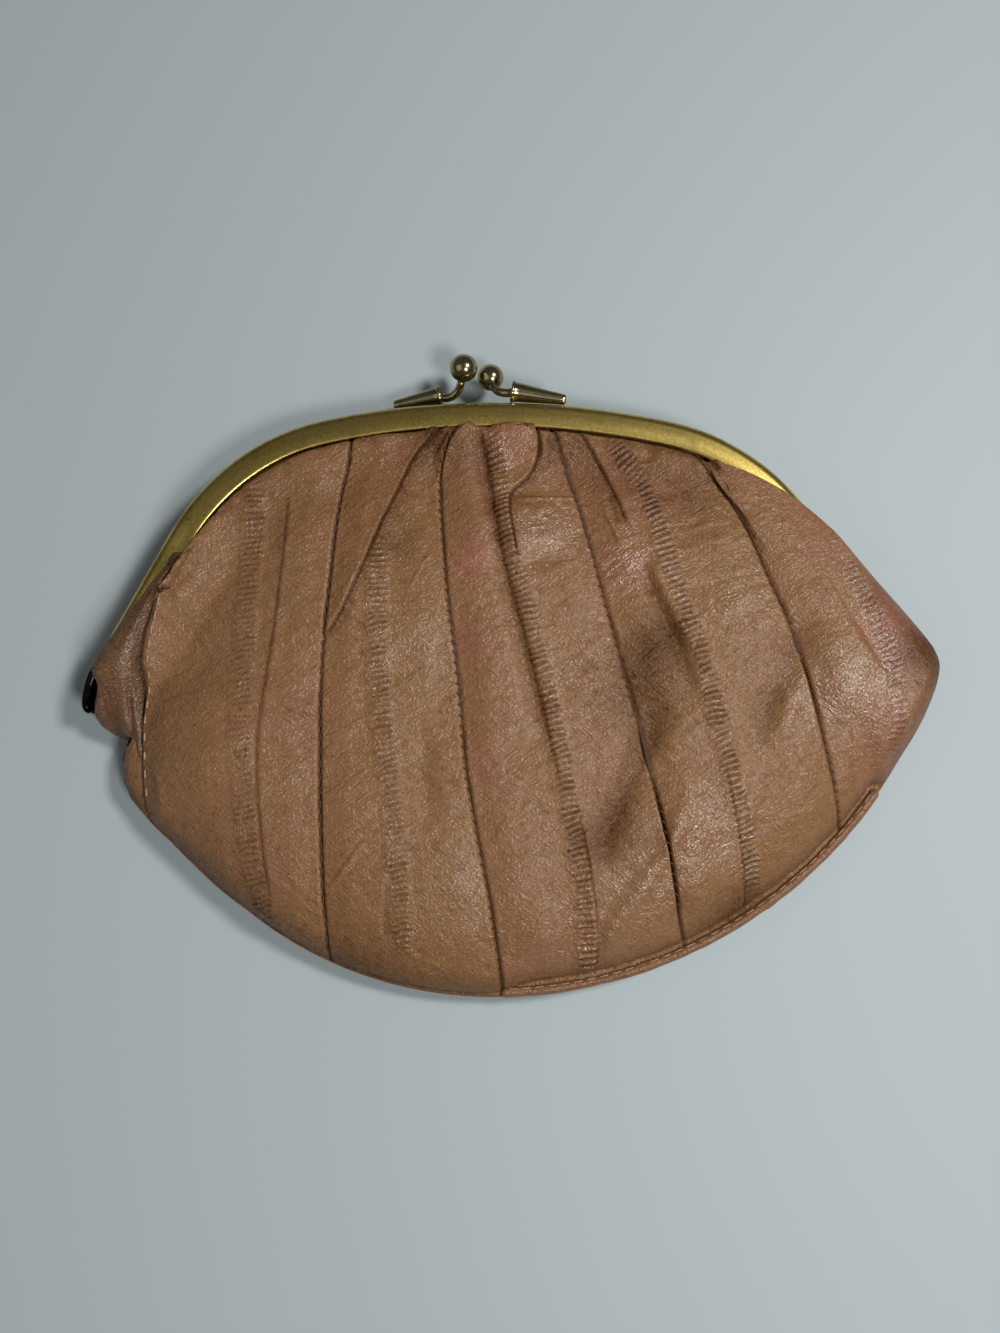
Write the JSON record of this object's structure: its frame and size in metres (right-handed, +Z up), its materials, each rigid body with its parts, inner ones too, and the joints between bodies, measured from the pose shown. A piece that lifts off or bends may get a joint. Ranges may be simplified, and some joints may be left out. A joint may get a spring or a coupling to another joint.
{
  "type": "kiss-lock coin purse",
  "caption": "Clasp purse lying on its back: sewn eel-skin strips in a curved brass frame that opens on riveted hinges and closes with crossing balls.",
  "frame": {"origin": "on the resting plane of the back panel, directly under the middle of the frame's hinge axis", "axes": "+X along the hinge axis to the right as the clasp points away, +Y from the hinge axis to the clasp, +Z up from the back panel through the front panel"},
  "size_m": [0.1603, 0.1206, 0.0172],
  "materials": {
    "band_brass": "satin plated, worn",
    "clasp_brass": "polished",
    "blackened_brass": "dark and glossy",
    "pink_brown_leather": "glazed eel skin",
    "olive_leather": "glazed eel skin",
    "mauve_leather": "glazed eel skin",
    "gusset_leather": "glazed eel skin",
    "lining_fabric": "plain woven",
    "thread_brown": "waxed thread",
    "paper_cord": "twisted paper"
  },
  "bodies": {
    "pouch": {"back_frame_channel": "band_brass", "back_crimp_cord": "paper_cord", "back_hinge_ear_left": "blackened_brass", "back_hinge_ear_right": "blackened_brass", "hinge_rivet_left": "blackened_brass", "hinge_rivet_right": "blackened_brass", "back_clasp_cone": "clasp_brass", "front_strip_1": "pink_brown_leather", "front_strip_2": "olive_leather", "front_strip_3": "mauve_leather", "front_strip_4": "olive_leather", "front_strip_5": "mauve_leather", "back_strip_1": "pink_brown_leather", "back_strip_2": "olive_leather", "back_strip_3": "mauve_leather", "back_strip_4": "olive_leather", "back_strip_5": "mauve_leather", "left_gusset": "gusset_leather", "right_gusset": "gusset_leather", "edge_binding": "olive_leather", "front_seam_thread_1": "thread_brown", "front_seam_thread_2": "thread_brown", "front_seam_thread_3": "thread_brown", "front_seam_thread_4": "thread_brown", "front_seam_thread_5": "thread_brown", "back_seam_thread_1": "thread_brown", "back_seam_thread_2": "thread_brown", "back_seam_thread_3": "thread_brown", "back_seam_thread_4": "thread_brown", "front_lining": "lining_fabric", "back_lining": "lining_fabric"},
    "front_frame": {"front_frame_channel": "band_brass", "front_crimp_cord": "paper_cord", "front_hinge_ear_left": "blackened_brass", "front_hinge_ear_right": "blackened_brass", "front_clasp_cone": "clasp_brass", "front_lining_facing": "lining_fabric"},
    "front_ball_arm": {"front_clasp_stem": "clasp_brass", "front_clasp_ball": "clasp_brass"},
    "back_ball_arm": {"back_clasp_stem": "clasp_brass", "back_clasp_ball": "clasp_brass"}
  },
  "joints": [
    {"name": "frame_hinge", "type": "hinge", "parent": "pouch", "child": "front_frame", "pos_m": [0, 0, 0.008], "axis": [1, 0, 0], "range_deg": [0, 90], "deforming": ["front_strip_1", "front_strip_2", "front_strip_3", "front_strip_4", "front_strip_5", "left_gusset", "right_gusset", "front_seam_thread_1", "front_seam_thread_2", "front_seam_thread_3", "front_seam_thread_4", "front_seam_thread_5"]},
    {"name": "front_ball_flex", "type": "hinge", "parent": "front_frame", "child": "front_ball_arm", "pos_m": [0.00375, 0.05706, 0.01018], "axis": [0, 0, -1], "range_deg": [0, 6], "stiffness_Nm_per_rad": 0.002},
    {"name": "back_ball_flex", "type": "hinge", "parent": "pouch", "child": "back_ball_arm", "pos_m": [-0.00993, 0.05679, 0.00583], "axis": [0, 0, 1], "range_deg": [0, 6], "stiffness_Nm_per_rad": 0.002}
  ]
}
